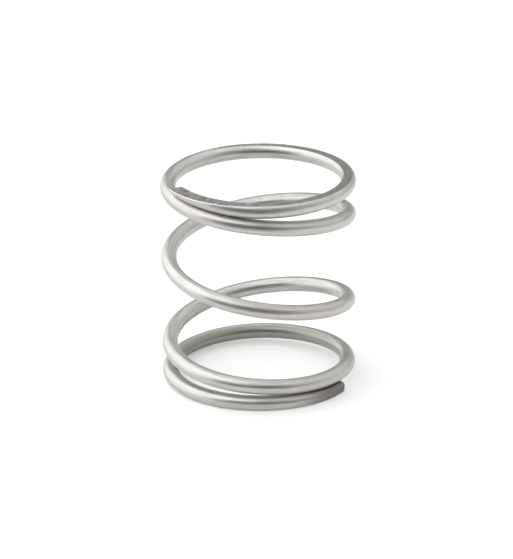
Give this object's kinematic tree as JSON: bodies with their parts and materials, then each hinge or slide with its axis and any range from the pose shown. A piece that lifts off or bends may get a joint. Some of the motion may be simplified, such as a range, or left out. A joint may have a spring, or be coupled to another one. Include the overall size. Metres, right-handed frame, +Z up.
{
  "type": "compression spring",
  "caption": "Left-hand helical compression spring of round satin steel wire with closed, ground ends.",
  "frame": {"origin": "centre of the bottom ground face, on the coil's axis", "axes": "+Z up along the coil's axis, from the bottom ground face to the top one"},
  "size_m": [0.025, 0.025, 0.0277],
  "materials": {
    "spring_steel": "satin drawn wire, ground end faces"
  },
  "bodies": {
    "root": {"spring": "spring_steel"}
  },
  "joints": []
}
